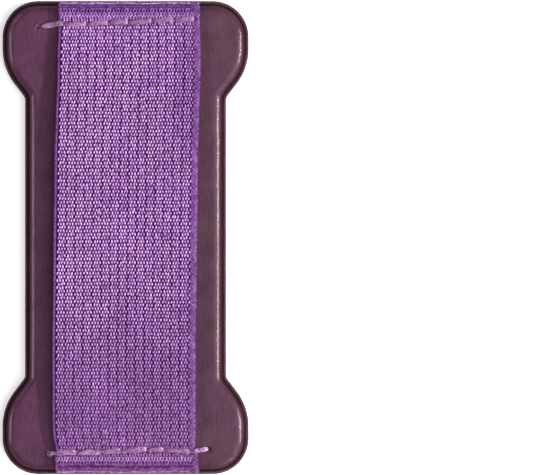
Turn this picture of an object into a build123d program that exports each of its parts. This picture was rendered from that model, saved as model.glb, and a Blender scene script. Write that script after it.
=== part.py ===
"""Padded hand strap: a bone-shaped leather pad with an elastic band sewn across its face.

Frame, in millimetres: the pad lies on its back, +Y runs along it from one lobe to the other,
+X across it and +Z out of the face that carries the band. The origin is the centre of the
back face.
"""

from build123d import *
from math import cos, radians, sin, tan
import os

# Pad outline
PAD_LENGTH = 123.8
LOBE_WIDTH = 64.4
WAIST_WIDTH = 52.6
END_CORNER_R = 9.4
SHOULDER_Y = 44.3  # where the lobe's side and the slanted flank would meet
SHOULDER_R = 15.0
FLANK_ANGLE = 37.5  # from the long axis
NECK_R = 2.2

# Pad section, from the back face up
BACK_COVER_T = 1.2
FLANGE_T = 0.9
PAD_HEIGHT = 5.0
COVER_T = 1.2  # of the front cover over the core
FLANGE_W = 1.1  # from the outer edge to the foot of the step
MOULD_R = 2.3  # rounded shoulder of the raised cushion
BEND_ANGLE = 60.0  # how far the band's end follows that shoulder down, in degrees
WALL_T = 1.2  # of the front cover beside the core
CORE_CLEARANCE = 0.1
BACK_EDGE_R = 0.4
FLANGE_EDGE_R = 0.3

# Elastic band
BAND_WIDTH = 38.1  # one and a half inch webbing
BAND_END_WIDTH = 37.6  # drawn in by the stitches
BAND_T = 1.5
BAND_END_T = 1.3  # pressed flat by the stitches
BAND_CUT_T = 1.0  # at the cut edge
SEWN_LENGTH = 9.4  # from the pad's end to where the band is free
# The band was sewn on a little askew: its middle line's X at both cut edges, and where it is free
TOP_END_X, TOP_FREE_X = 1.1, 0.95
BOTTOM_END_X, BOTTOM_FREE_X = 0.3, -0.3
MIDDLE_LENGTH = 40.0  # the stretch of the band that lifts in one piece
MIDDLE_GAP = 0.8  # the band bows off the pad a little

# Stitches
STITCH_PITCH = 5.65
THREAD_W = 1.4
THREAD_T = 0.7
LEG_R = 0.5
HOLE_R = 0.55
GROOVE_W = 1.8
GROOVE_DEPTH = 0.75
BOBBIN_Z = 0.05  # the back thread lies just inside the back face
STITCH_GAP = 0.15  # between a stitch's end and its hole's middle
SHORT_STITCH_SHARE = 0.8  # a short stitch's width, as a share of its length
# Each row: its first hole, its slope in degrees, its first stitch's length, the stitches after it
STITCH_ROWS = {
    "top": ((-22.9, 55.1), 3.3, 6.6, 6),
    "bottom": ((-20.1, -56.7), 2.1, 1.7, 7),
}

HALF_LENGTH = PAD_LENGTH / 2
FLANGE_Z = BACK_COVER_T + FLANGE_T
CORE_TOP_Z = PAD_HEIGHT - COVER_T
CORE_INSET = FLANGE_W + WALL_T
BAND_TOP_Z = PAD_HEIGHT + BAND_END_T
THREAD_MEET_Z = PAD_HEIGHT / 2
FREE_Y = HALF_LENGTH - SEWN_LENGTH
MIDDLE_Y = MIDDLE_LENGTH / 2
# The band's outline from one cut edge to the other: Y, its middle line's X, its width
BAND_STATIONS = [
    (-HALF_LENGTH, BOTTOM_END_X, BAND_END_WIDTH),
    (-FREE_Y, BOTTOM_FREE_X, BAND_WIDTH),
    (FREE_Y, TOP_FREE_X, BAND_WIDTH),
    (HALF_LENGTH, TOP_END_X, BAND_END_WIDTH),
]


def bone_face(inset=0.0):
    """The pad's outline: two rounded lobes joined by a narrower waist."""
    lobe, waist = LOBE_WIDTH / 2, WAIST_WIDTH / 2
    neck_y = SHOULDER_Y - (lobe - waist) / tan(radians(FLANK_ANGLE))
    upper = [(lobe, HALF_LENGTH), (lobe, SHOULDER_Y), (waist, neck_y)]
    radii = [END_CORNER_R, SHOULDER_R, NECK_R]
    right = upper + [(x, -y) for x, y in reversed(upper)]
    left = [(-x, -y) for x, y in right]
    outline = FilletPolyline(*right, *left, radius=(radii + radii[::-1]) * 2, close=True)
    face = make_face(outline)
    return offset(face, -inset) if inset else face


def top_edges(solid):
    return solid.faces().sort_by(Axis.Z)[-1].edges()


def bottom_edges(solid):
    return solid.faces().sort_by(Axis.Z)[0].edges()


def slab(face, low, high):
    return extrude(Pos(Z=low) * face, high - low)


def row_distances(row):
    """How far along its row each needle hole is."""
    _, _, first, others = STITCH_ROWS[row]
    return [0.0] + [first + i * STITCH_PITCH for i in range(others + 1)]


def along_row(row):
    """The place of a row: its first hole, turned so that +X runs along the stitches."""
    (x, y), slope, _, _ = STITCH_ROWS[row]
    return Pos(x, y) * Rot(Z=slope)


def upright_pin(radius, distance, low, high):
    """A round pin of the given height, standing at a distance along a row."""
    foot = (Align.CENTER, Align.CENTER, Align.MIN)
    return Pos(distance, 0, low) * Cylinder(radius, high - low, align=foot)


def needle_holes(low, high):
    """The space of every stitch hole between two heights."""
    return [
        along_row(row) * upright_pin(HOLE_R, distance, low, high)
        for row in STITCH_ROWS
        for distance in row_distances(row)
    ]


def make_back_cover():
    plate = slab(bone_face(), 0, BACK_COVER_T)
    plate = fillet(bottom_edges(plate), BACK_EDGE_R)
    for row in STITCH_ROWS:
        length = row_distances(row)[-1]
        groove = Pos(length / 2) * SlotCenterToCenter(length, GROOVE_W)
        plate -= along_row(row) * extrude(groove, GROOVE_DEPTH)
    return plate - needle_holes(0, BACK_COVER_T)


def make_front_cover():
    flange = slab(bone_face(), BACK_COVER_T, FLANGE_Z)
    flange = fillet(top_edges(flange), FLANGE_EDGE_R)
    cushion = slab(bone_face(FLANGE_W), BACK_COVER_T, PAD_HEIGHT)
    cushion = fillet(top_edges(cushion), MOULD_R)
    hollow = slab(bone_face(CORE_INSET), BACK_COVER_T, CORE_TOP_Z)
    hollow = fillet(top_edges(hollow), MOULD_R - COVER_T)
    return flange + cushion - hollow - needle_holes(CORE_TOP_Z, PAD_HEIGHT)


def make_core_pad():
    core = slab(bone_face(CORE_INSET + CORE_CLEARANCE), BACK_COVER_T, CORE_TOP_Z)
    core = fillet(top_edges(core), MOULD_R - COVER_T)
    return core - needle_holes(BACK_COVER_T, CORE_TOP_Z)


def band_edge_x(side, y):
    """Where the band's left (-1) or right (1) selvedge is, at y."""
    for (y0, x0, width0), (y1, x1, width1) in zip(BAND_STATIONS, BAND_STATIONS[1:]):
        if y0 <= y <= y1:
            share = (y - y0) / (y1 - y0)
            width = width0 + share * (width1 - width0)
            return x0 + share * (x1 - x0) + side * width / 2


def band_plan():
    """The band's outline seen from above."""
    upwards = [y for y, _, _ in BAND_STATIONS]
    right = [(band_edge_x(1, y), y) for y in upwards]
    left = [(band_edge_x(-1, y), y) for y in reversed(upwards)]
    return make_face(Polyline(*right, *left, close=True))


def band_piece(profile):
    """A length of the band from the edges of its side profile, drawn in Y and Z."""
    wide = extrude(make_face(profile), LOBE_WIDTH / 2, dir=(1, 0, 0), both=True)
    return wide & slab(band_plan(), 0, 2 * PAD_HEIGHT)


def side_outline(points):
    """A closed outline in the YZ plane."""
    return Polyline(*[(0, y, z) for y, z in points], close=True)


def make_band_end(side):
    """The sewn end: flat on the pad, bent down over its shoulder and cut flush with its end."""
    shoulder_y = HALF_LENGTH - FLANGE_W - MOULD_R
    bent = radians(BEND_ANGLE)
    bend_end = (shoulder_y + MOULD_R * sin(bent), PAD_HEIGHT - MOULD_R * (1 - cos(bent)))
    bend_middle = (
        shoulder_y + MOULD_R * sin(bent / 2),
        PAD_HEIGHT - MOULD_R * (1 - cos(bent / 2)),
    )
    cut_low_z = FLANGE_Z + BAND_CUT_T
    cut_high_z = cut_low_z + BAND_CUT_T

    def at(point):
        return 0, side * point[0], point[1]

    profile = [
        Line(at((FREE_Y, PAD_HEIGHT)), at((shoulder_y, PAD_HEIGHT))),
        ThreePointArc(at((shoulder_y, PAD_HEIGHT)), at(bend_middle), at(bend_end)),
        Polyline(
            at(bend_end),
            at((HALF_LENGTH, cut_low_z)),
            at((HALF_LENGTH, cut_high_z)),
            at((bend_end[0], bend_end[1] + BAND_CUT_T)),
            at((shoulder_y, BAND_TOP_Z)),
            at((FREE_Y, BAND_TOP_Z)),
            at((FREE_Y, PAD_HEIGHT)),
        ),
    ]
    return band_piece(profile) - needle_holes(PAD_HEIGHT, BAND_TOP_Z)


def make_band_span(side):
    """The stretch between a sewn end and the middle, rising off the pad."""
    low = [(FREE_Y, PAD_HEIGHT), (MIDDLE_Y, PAD_HEIGHT + MIDDLE_GAP)]
    high = [(MIDDLE_Y, PAD_HEIGHT + MIDDLE_GAP + BAND_T), (FREE_Y, BAND_TOP_Z)]
    return band_piece(side_outline([(side * y, z) for y, z in low + high]))


def make_band_middle():
    """The stretch that a hand lifts, level and just clear of the pad."""
    low = [(-MIDDLE_Y, PAD_HEIGHT + MIDDLE_GAP), (MIDDLE_Y, PAD_HEIGHT + MIDDLE_GAP)]
    high = [(y, z + BAND_T) for y, z in reversed(low)]
    return band_piece(side_outline(low + high))


def stitch_bar(start, end, low_z):
    """One stitch lying on a flat surface, between two holes; a short one is narrower."""
    length = end - start - 2 * STITCH_GAP
    bar = SlotOverall(length, min(THREAD_W, length * SHORT_STITCH_SHARE))
    return extrude(Pos((start + end) / 2, 0, low_z) * bar, THREAD_T)


def stitch_over_edge(leather_hole, edge, band_hole):
    """A stitch that starts on bare leather and climbs over the band's selvedge."""
    towards_band = 1 if band_hole > leather_hole else -1
    foot = edge - towards_band * STITCH_GAP
    back = leather_hole - towards_band * LEG_R
    front = band_hole - towards_band * STITCH_GAP
    profile = [
        (back, PAD_HEIGHT),
        (foot, PAD_HEIGHT),
        (foot, BAND_TOP_Z),
        (front, BAND_TOP_Z),
        (front, BAND_TOP_Z + THREAD_T),
        (foot - towards_band * THREAD_T, BAND_TOP_Z + THREAD_T),
        (back, PAD_HEIGHT + THREAD_T),
    ]
    side = make_face(Polyline(*[(s, 0, z) for s, z in profile], close=True))
    return extrude(side, THREAD_W / 2, dir=(0, 1, 0), both=True)


def make_needle_thread(row):
    """The face thread: a stitch between each two holes, and a leg down each hole."""
    (x0, y0), slope, _, _ = STITCH_ROWS[row]
    holes = row_distances(row)
    edges = [(band_edge_x(side, y0) - x0) / cos(radians(slope)) for side in (-1, 1)]
    thread = []
    for a, b in zip(holes, holes[1:]):
        if a < edges[0] < b:
            thread.append(stitch_over_edge(a, edges[0], b))
        elif a < edges[1] < b:
            thread.append(stitch_over_edge(b, edges[1], a))
        else:
            thread.append(stitch_bar(a, b, BAND_TOP_Z))
    for distance in holes:
        on_band = edges[0] < distance < edges[1]
        surface_z = BAND_TOP_Z if on_band else PAD_HEIGHT
        thread.append(upright_pin(LEG_R, distance, THREAD_MEET_Z, surface_z + THREAD_T / 2))
    return along_row(row) * (thread[0] + thread[1:])


def make_bobbin_thread(row):
    """The back thread, sunk in the back cover's groove and looped up to meet the needle thread."""
    holes = row_distances(row)
    thread = [stitch_bar(a, b, BOBBIN_Z) for a, b in zip(holes, holes[1:])]
    thread += [
        upright_pin(LEG_R, distance, BOBBIN_Z + THREAD_T / 2, THREAD_MEET_Z)
        for distance in holes
    ]
    return along_row(row) * (thread[0] + thread[1:])


PARTS = {
    "back_cover": make_back_cover(),
    "front_cover": make_front_cover(),
    "core_pad": make_core_pad(),
    "band_top_end": make_band_end(1),
    "band_top_span": make_band_span(1),
    "band_middle": make_band_middle(),
    "band_bottom_span": make_band_span(-1),
    "band_bottom_end": make_band_end(-1),
    "top_needle_thread": make_needle_thread("top"),
    "bottom_needle_thread": make_needle_thread("bottom"),
    "top_bobbin_thread": make_bobbin_thread("top"),
    "bottom_bobbin_thread": make_bobbin_thread("bottom"),
}

os.makedirs("parts", exist_ok=True)
for name, shape in PARTS.items():
    export_step(shape, f"parts/{name}.step")
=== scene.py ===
"""The looks of a padded hand strap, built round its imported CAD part.

Shapes are worked out in millimetres in the part's own frame and become metres as each mesh is
made. The pad lies on its back: +Y runs along it, +X across it and +Z out of its face.
"""

import math

import bpy
import numpy as np
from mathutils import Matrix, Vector
from mathutils.geometry import delaunay_2d_cdt


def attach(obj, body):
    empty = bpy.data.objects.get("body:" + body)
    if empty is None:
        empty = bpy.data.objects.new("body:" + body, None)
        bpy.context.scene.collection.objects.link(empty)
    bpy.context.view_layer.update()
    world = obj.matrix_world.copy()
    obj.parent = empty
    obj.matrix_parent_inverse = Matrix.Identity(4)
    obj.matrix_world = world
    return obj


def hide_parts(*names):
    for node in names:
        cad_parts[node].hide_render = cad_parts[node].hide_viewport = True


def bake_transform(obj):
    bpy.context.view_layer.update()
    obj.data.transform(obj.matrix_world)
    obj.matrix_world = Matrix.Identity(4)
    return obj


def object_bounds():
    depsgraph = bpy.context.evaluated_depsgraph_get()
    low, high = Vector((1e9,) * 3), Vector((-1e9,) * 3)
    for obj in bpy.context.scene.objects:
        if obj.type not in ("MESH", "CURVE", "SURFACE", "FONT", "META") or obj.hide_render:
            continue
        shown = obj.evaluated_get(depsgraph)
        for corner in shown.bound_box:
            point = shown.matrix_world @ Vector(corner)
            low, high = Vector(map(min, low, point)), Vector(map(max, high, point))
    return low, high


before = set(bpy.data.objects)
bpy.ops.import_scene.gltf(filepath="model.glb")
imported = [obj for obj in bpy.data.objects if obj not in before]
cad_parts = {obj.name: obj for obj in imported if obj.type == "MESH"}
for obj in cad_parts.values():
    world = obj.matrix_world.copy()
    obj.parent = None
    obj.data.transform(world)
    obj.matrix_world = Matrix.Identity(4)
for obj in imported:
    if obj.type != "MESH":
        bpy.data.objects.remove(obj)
cad_low, cad_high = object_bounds()

MM = 0.001

# The pad's outline, the same as the part's
PAD_LENGTH = (cad_high.y - cad_low.y) / MM
LOBE_WIDTH = (cad_high.x - cad_low.x) / MM
WAIST_WIDTH = 52.6
END_CORNER_R = 9.4
SHOULDER_Y = 44.3
SHOULDER_R = 15.0
FLANK_ANGLE = 37.5
NECK_R = 2.2

# The pad's section, from the back face up
BACK_COVER_T = 1.2
FLANGE_Z = 2.1
PAD_HEIGHT = 5.0
FLANGE_W = 1.1
MOULD_R = 2.3
CORE_INSET = 2.4
CORE_TOP_Z = 3.8
LAYER_EDGE_R = 0.14
FLANGE_EDGE_R = 0.3
BACK_EDGE_R = 0.4
RING_INSET = 4.0  # the edge rings end here, and the grid of the field starts
EDGE_DYE_W = 1.65  # the matt dye that covers the flange, the crease and the steep wall

# The band's path along the pad
BAND_WIDTH = 38.1
BAND_LAID_WIDTH = 37.5
BAND_END_WIDTH = 37.0
BAND_T = 1.5
BAND_END_T = 1.3
FREE_Y = 52.5
MIDDLE_Y = 20.0
MIDDLE_GAP = 0.8
BEND_START = PAD_LENGTH / 2 - FLANGE_W - MOULD_R
BEND_R = MOULD_R + BAND_END_T / 2
BEND_ANGLE = math.radians(60)
TAIL = 0.35  # of the band past the bend
BAND_REACH = BEND_START + BEND_R * BEND_ANGLE + TAIL
ENDS = {"top": 1, "bottom": -1}  # which way along the band each end is
# The band was sewn on a little askew: places along it, and its middle line's X there
BAND_WANDER = [
    (-62, 0.2), (-56, -0.05), (-49, -0.38), (-30, -0.38), (-8, -0.1),
    (20, 0.2), (32, 0.54), (42, 0.93), (62, 1.0),
]

# The weave: raised floats in staggered rows
COLUMN_PITCH = 0.78
ROW_PITCH = 0.93
WEAVE_LEFT = -18.3
WEAVE_RIGHT = 17.5
COLUMNS = 46
ROWS_EACH_WAY = 80
STRAIGHT_FLOAT = (0.25, 0.55)  # half width and half length of every third float
LEANING_FLOAT = (0.3, 0.48)  # and of the two between, which lean on each other
FLOAT_LEAN = 12  # degrees
GROUP_GAP = 0.06  # how far each group of three floats is drawn together
RELIEF = 0.5
END_RELIEF = 0.3
LOOP_PITCH = 3 * COLUMN_PITCH
# The rows of open loops past the stitches: place along the band, half height, and shift in pitches
LOOP_ROWS = [(57.5, 0.42, 0.5), (58.3, 0.42, 0), (59.12, 0.45, 0.5), (-57.75, 0.48, 0), (-58.65, 0.4, 0.5)]
# The layers of loose yarn ends along each cut edge: height in the band, count, length and radius
YARN_LAYERS = [(0.25, 52, 0.42, 0.15), (0.0, 50, 0.46, 0.15), (0.33, 150, 0.6, 0.035)]
GRID_U = 0.14  # from point to point of the face across the band
GRID_T = 0.157  # and along it
UNDERSIDE_COLUMNS = 66

# The stitches: where the needle went through, from left to right
HOLES = {
    "top": [
        (-23.0, 55.1), (-16.0, 55.9), (-10.1, 55.8), (-4.4, 56.2),
        (0.8, 56.3), (7.0, 56.6), (12.7, 56.9), (18.2, 57.2),
    ],
    "bottom": [
        (-20.1, -56.8), (-18.4, -56.3), (-12.8, -56.2), (-6.5, -56.1), (-1.0, -55.8),
        (5.7, -55.4), (10.2, -55.4), (16.9, -56.1), (21.6, -55.2),
    ],
}
HOLES = {row: np.array(holes) for row, holes in HOLES.items()}
BARE_HOLES = [HOLES["top"][0], HOLES["bottom"][0], HOLES["bottom"][-1]]
NOTCH = (0.2, -0.15)  # where the needle's hole shows beside each stitch's end
THREAD_W = 1.45
THREAD_T = 0.62
BACK_THREAD_T = 0.5
BACK_THREAD_Z = 0.46
PLY_LENGTH = 9.0
UNDERLAP = 0.5  # how far each stitch starts under the one before it
SLANT = 0.16  # and how far below it, ending as far above the row's line

FLOOR_HALF = 5.0  # metres, like the next two
PICTURE_WIDTH = 0.13965
CAMERA_PLACE = (0.03689, 0.00003, 1.94)
FLOOR_GLOW = 0.28
ROOM_GLOW = 0.16


def smooth(x):
    """0 below 0, 1 above 1, and an even S between them."""
    x = np.clip(x, 0, 1)
    return x * x * (3 - 2 * x)


def hump(x, centre, half_width):
    """1 at the centre, falling to nothing about two half widths away."""
    return np.exp(-(((x - centre) / half_width) ** 2))


def noise(x, y, cell_x, cell_y, seed):
    """Smooth noise from -1 to 1 over a plane, with features about a cell in size."""
    table = np.random.default_rng(seed).uniform(-1, 1, (97, 97))
    x, y = np.asarray(x, float) / cell_x, np.asarray(y, float) / cell_y
    column, row = np.floor(x).astype(int), np.floor(y).astype(int)
    across, along = smooth(x - column), smooth(y - row)
    low = table[column % 97, row % 97] * (1 - across) + table[(column + 1) % 97, row % 97] * across
    row += 1
    high = table[column % 97, row % 97] * (1 - across) + table[(column + 1) % 97, row % 97] * across
    return low * (1 - along) + high * along


def through(stations, y):
    """A curve that eases from one (place, value) to the next."""
    places, values = np.array(stations, float).T
    i = np.clip(np.searchsorted(places, y) - 1, 0, len(places) - 2)
    return values[i] + (values[i + 1] - values[i]) * smooth((y - places[i]) / (places[i + 1] - places[i]))


# ---------------------------------------------------------------- meshes


def make_piece(name, points, faces, material, values=None, flat_faces=0):
    """A smooth-shaded mesh from points in millimetres. The last flat_faces faces stay flat."""
    mesh = bpy.data.meshes.new(name)
    mesh.from_pydata((np.asarray(points) * MM).tolist(), [], faces)
    for key, data in (values or {}).items():
        mesh.attributes.new(key, "FLOAT", "POINT").data.foreach_set("value", np.asarray(data, np.float32))
    smooth_faces = np.ones(len(faces), bool)
    smooth_faces[len(faces) - flat_faces:] = False
    mesh.polygons.foreach_set("use_smooth", smooth_faces)
    mesh.materials.append(material)
    obj = bpy.data.objects.new(name, mesh)
    bpy.context.scene.collection.objects.link(obj)
    return obj


def place(piece, nodes=(), body="pad"):
    """The piece rides on a body and stands for those CAD nodes."""
    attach(piece, body)
    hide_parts(*nodes)
    return piece


def quads_between(low, high, n):
    """The faces between two rings of n points, whose first points have those numbers."""
    return [(low + j, low + (j + 1) % n, high + (j + 1) % n, high + j) for j in range(n)]


class Parts:
    """Collects the points, faces and tones of many small shapes into one mesh."""

    def __init__(self):
        self.points, self.faces, self.tones, self.count = [], [], [], 0

    def add_tube(self, rings, tones):
        """rings is (n, m, 3): n rings of m points. Both ends are closed."""
        n, m = rings.shape[:2]
        start = self.count
        self.points.append(rings.reshape(-1, 3))
        self.tones.append(np.broadcast_to(tones, (n, m)).reshape(-1))
        self.count += n * m
        last = start + (n - 1) * m
        for ring in range(start, last, m):
            self.faces += quads_between(ring, ring + m, m)
        self.faces.append(tuple(range(start + m - 1, start - 1, -1)))
        self.faces.append(tuple(range(last, last + m)))

    def piece(self, name, material):
        points, tones = np.concatenate(self.points), np.concatenate(self.tones)
        return make_piece(name, points, self.faces, material, {"tone": tones})


# ---------------------------------------------------------------- outline and leather shells


def outline(spacing=0.5, turn_step=math.radians(4)):
    """The pad's edge as points and outward normals, anticlockwise from the lower right corner."""
    neck_y = SHOULDER_Y - (LOBE_WIDTH - WAIST_WIDTH) / 2 / math.tan(math.radians(FLANK_ANGLE))
    side = [
        (LOBE_WIDTH / 2, PAD_LENGTH / 2, END_CORNER_R),
        (LOBE_WIDTH / 2, SHOULDER_Y, SHOULDER_R),
        (WAIST_WIDTH / 2, neck_y, NECK_R),
    ]
    right = [(x, -y, r) for x, y, r in side] + side[::-1]
    corners = right + [(-x, -y, r) for x, y, r in right]
    arcs = []
    for i, (x, y, r) in enumerate(corners):
        here = np.array([x, y])
        before, after = np.array(corners[i - 1][:2]), np.array(corners[(i + 1) % len(corners)][:2])
        way_in = (here - before) / np.linalg.norm(here - before)
        way_out = (after - here) / np.linalg.norm(after - here)
        turn = math.atan2(way_in[0] * way_out[1] - way_in[1] * way_out[0], way_in @ way_out)
        sign = math.copysign(1, turn)
        steps = max(math.ceil(abs(turn) * r / spacing), math.ceil(abs(turn) / turn_step))
        angles = math.atan2(-way_in[0], way_in[1]) + turn * np.linspace(0, 1, steps + 1)
        normals = np.stack([np.cos(angles), np.sin(angles)], 1)
        centre = here - way_in * r * math.tan(abs(turn) / 2) - normals[0] * r * sign
        arcs.append((centre + normals * r * sign, normals))
    points, normals = [], []
    for i, (arc, arc_normals) in enumerate(arcs):
        points.append(arc)
        normals.append(arc_normals)
        start, end = arc[-1], arcs[(i + 1) % len(arcs)][0][0]
        steps = max(1, math.ceil(np.linalg.norm(end - start) / spacing))
        share = np.arange(1, steps)[:, None] / steps
        points.append(start + (end - start) * share)
        normals.append(np.repeat(arc_normals[-1:], steps - 1, 0))
    return np.concatenate(points), np.concatenate(normals)


EDGE, EDGE_NORMALS = outline()


def inside(points, loop):
    """Which points lie inside a closed loop."""
    x, y = points[:, 0, None], points[:, 1, None]
    ax, ay = loop[:, 0], loop[:, 1]
    bx, by = np.roll(ax, -1), np.roll(ay, -1)
    crosses = (ay > y) != (by > y)
    at = (bx - ax) * (y - ay) / np.where(by == ay, 1e-9, by - ay) + ax
    return (np.sum(crosses & (x < at), 1) % 2).astype(bool)


def grid_points(spacing, low, high):
    """Points of a staggered grid over a rectangle."""
    ys = np.arange(low[1], high[1], spacing)
    rows = [np.arange(low[0], high[0], spacing) + spacing / 2 * (i % 2) for i in range(len(ys))]
    return np.concatenate([np.stack([row, np.full(len(row), y)], 1) for row, y in zip(rows, ys)])


def fill(loop, spacing, fine_spots, fine_spacing):
    """The points inside a loop and the triangles that cover it, finer round each (x, y, radius) spot. The
    triangles count the loop's own points first."""
    grid = grid_points(spacing, loop.min(0), loop.max(0))
    keep = inside(grid, loop)
    keep &= np.min(np.linalg.norm(grid[:, None] - loop, axis=2), 1) > 0.6 * spacing
    spots = []
    for x, y, radius in fine_spots:
        keep &= np.linalg.norm(grid - (x, y), axis=1) > radius
        spot = grid_points(fine_spacing, (x - radius, y - radius), (x + radius, y + radius))
        spot = spot[np.linalg.norm(spot - (x, y), axis=1) < radius - fine_spacing / 2]
        for other in spots:
            spot = spot[np.min(np.linalg.norm(spot[:, None] - other, axis=2), 1) > 0.6 * fine_spacing]
        spots.append(spot)
    points = np.concatenate([loop, grid[keep]] + spots)
    only_inside, tolerance = 1, 1e-6
    _, _, triangles, origins, _, _ = delaunay_2d_cdt(
        [Vector(p) for p in points], [], [list(range(len(loop)))], only_inside, tolerance
    )
    index = [o[0] for o in origins]
    return points[len(loop):], [[index[i] for i in t] for t in triangles]


def shell(
    name, material, outer, outer_field, inner, inner_field,
    spacing=0.7, fine_spots=(), fine_spacing=0.2, edge_material=None,
):
    """A closed leather or felt layer. outer and inner are (inset, z) rings from the pad's edge inwards, one
    list for each face, and each field gives the relief to add at (x, y). The outer face may be the upper or
    the lower one. The edge material covers the outermost part."""
    n = len(EDGE)
    points, faces, insets = [], [], []
    order = 1 if outer[-1][1] > inner[-1][1] else -1
    count = 0
    first_rings = []
    for rings, field, turned in ((outer, outer_field, order), (inner, inner_field, -order)):
        first_rings.append(count)
        for i, (inset, z) in enumerate(rings):
            xy = EDGE - EDGE_NORMALS * inset
            share = smooth((inset - 1.2) / 2.6)
            points.append(np.column_stack([xy, z + share * field(xy[:, 0], xy[:, 1])]))
            insets.append(np.full(n, inset))
            if i:
                faces += [face[::turned] for face in quads_between(count - n, count, n)]
            count += n
        more, triangles = fill(xy, spacing, fine_spots, fine_spacing)
        z = rings[-1][1] + field(more[:, 0], more[:, 1])
        points.append(np.column_stack([more, z]))
        insets.append(np.full(len(more), RING_INSET))
        faces += [tuple(count - n + i for i in t)[::turned] for t in triangles]
        count += len(more)
    outer_start, inner_start = first_rings
    faces += [face[::order] for face in quads_between(inner_start, outer_start, n)]
    insets = np.concatenate(insets)
    piece = make_piece(name, np.concatenate(points), faces, material, {"inset": insets})
    if edge_material:
        piece.data.materials.append(edge_material)
        on_edge = [int(insets[face[0]] + insets[face[2]] < 2 * EDGE_DYE_W) for face in faces]
        piece.data.polygons.foreach_set("material_index", on_edge)
    return piece


def quarter(centre, radius, start, end, steps):
    """Ring stations (inset, z) along an arc, angles in degrees: 180 faces out, 90 faces up."""
    angles = np.radians(np.linspace(start, end, steps + 1))
    return [(centre[0] + radius * math.cos(a), centre[1] + radius * math.sin(a)) for a in angles]


def row_line(row, x):
    """The Y of a stitch row's line at x."""
    return np.interp(x, *HOLES[row].T)


def face_relief(x, y):
    """Unevenness of the moulded face: hand-pressed swells, lengthwise wrinkles, and the dips round the bare
    holes and under the bare stitches."""
    z = 0.05 * noise(x, y, 13, 17, 1) + 0.022 * noise(x, y, 4.5, 7, 2)
    z += 0.01 * noise(x, y, 0.7, 4, 3) + 0.008 * noise(x + 0.12 * y, y, 1.1, 2.5, 4)
    for hx, hy in BARE_HOLES:
        away = np.hypot(x - hx, y - hy)
        z -= 0.75 * np.exp(-((away / 0.42) ** 3)) + 0.12 * hump(away, 0, 1.3)
    for row, sign in (("top", -1), ("bottom", 1)):
        bare = smooth((sign * x - 17.5) / 0.8) * smooth((22.9 - sign * x) / 0.8)
        z -= 0.2 * bare * hump(y - row_line(row, x), 0, 0.95)
    return z


def back_relief(x, y):
    """The back face's swells, and the channels that its stitches lie in, as heights below the face."""
    z = 0.03 * (noise(x, y, 15, 19, 11) - 1) - 0.01 * (1 + noise(x, y, 3.5, 6, 12))
    for row, holes in HOLES.items():
        along = smooth((x - holes[0, 0] + 0.5) / 0.5) * smooth((holes[-1, 0] - x + 0.5) / 0.5)
        z -= 0.42 * along * np.exp(-(((y - row_line(row, x)) / 0.85) ** 4))
        for hx, hy in holes:
            z -= 0.35 * hump(np.hypot(x - hx, y - hy), 0, 0.45)
    return -z


def level(x, y):
    """No relief at all."""
    return np.zeros_like(x)


def build_front_cover(material, edge_material):
    """The moulded leather face: flange, crease, rounded shoulder and field, hollow for the core."""
    arc_centre = (FLANGE_W + MOULD_R, PAD_HEIGHT - MOULD_R)
    outer = quarter((LAYER_EDGE_R, BACK_COVER_T + LAYER_EDGE_R), LAYER_EDGE_R, 270, 180, 3)
    outer += quarter((FLANGE_EDGE_R, FLANGE_Z - FLANGE_EDGE_R), FLANGE_EDGE_R, 180, 90, 5)
    crease = [(0.45, 0), (0.6, -0.02), (0.74, -0.05), (0.84, -0.07), (0.93, -0.04), (1.0, 0.08)]
    steep_wall = [(1.05, 0.3), (1.1, 0.65)]
    outer += [(inset, FLANGE_Z + rise) for inset, rise in crease + steep_wall]
    outer += quarter(arc_centre, MOULD_R, 168, 90, 15)
    outer += [(RING_INSET - 0.3, PAD_HEIGHT), (RING_INSET, PAD_HEIGHT)]
    inner = [(inset, BACK_COVER_T) for inset in (0.3, 1.2, CORE_INSET - 0.15)]
    inner += [(CORE_INSET - 0.1, CORE_TOP_Z - 0.5)]
    inner += [(inset, CORE_TOP_Z) for inset in (CORE_INSET + 0.3, RING_INSET)]
    spots = [(x, y, 1.3) for x, y in BARE_HOLES]
    piece = shell(
        "leather_front", material, outer, face_relief, inner, level,
        fine_spots=spots, fine_spacing=0.16, edge_material=edge_material,
    )
    return place(piece, ["front_cover"])


def build_back_cover(material):
    """The flat leather back, with a rounded edge and the channels of both stitch rows."""
    outer = quarter((LAYER_EDGE_R, BACK_COVER_T - LAYER_EDGE_R), LAYER_EDGE_R, 90, 180, 3)
    outer += quarter((BACK_EDGE_R, BACK_EDGE_R), BACK_EDGE_R, 180, 270, 5)
    outer += [(inset, 0.0) for inset in (0.9, 1.6, 2.4, 3.2, RING_INSET)]
    inner = [(inset, BACK_COVER_T - 0.01) for inset in (0.3, 2, RING_INSET)]
    spots = [(x, y, 1.4) for holes in HOLES.values() for x, y in holes]
    for holes in HOLES.values():
        middles = (holes[1:] + holes[:-1]) / 2
        spots += [(x, y, 1.5) for x, y in middles]
    piece = shell(
        "leather_back", material, outer, back_relief, inner, level,
        fine_spots=spots, fine_spacing=0.25,
    )
    return place(piece, ["back_cover"])


def build_core(material):
    """The felt filler inside the cushion."""
    low, high = BACK_COVER_T + 0.03, CORE_TOP_Z - 0.06
    outer = [(CORE_INSET + 0.05, (low + high) / 2), (CORE_INSET + 0.08, high - 0.3)]
    outer += [(CORE_INSET + 0.4, high - 0.04), (RING_INSET, high)]
    inner = [(CORE_INSET + 0.1, low + 0.2), (CORE_INSET + 0.4, low), (RING_INSET, low)]

    def felt(x, y):
        return 0.02 * (noise(x, y, 2.5, 2.5, 21) - 1)

    piece = shell("felt_core", material, outer, felt, inner, level, spacing=1.6)
    return place(piece, ["core_pad"])


# ---------------------------------------------------------------- the elastic band


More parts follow.
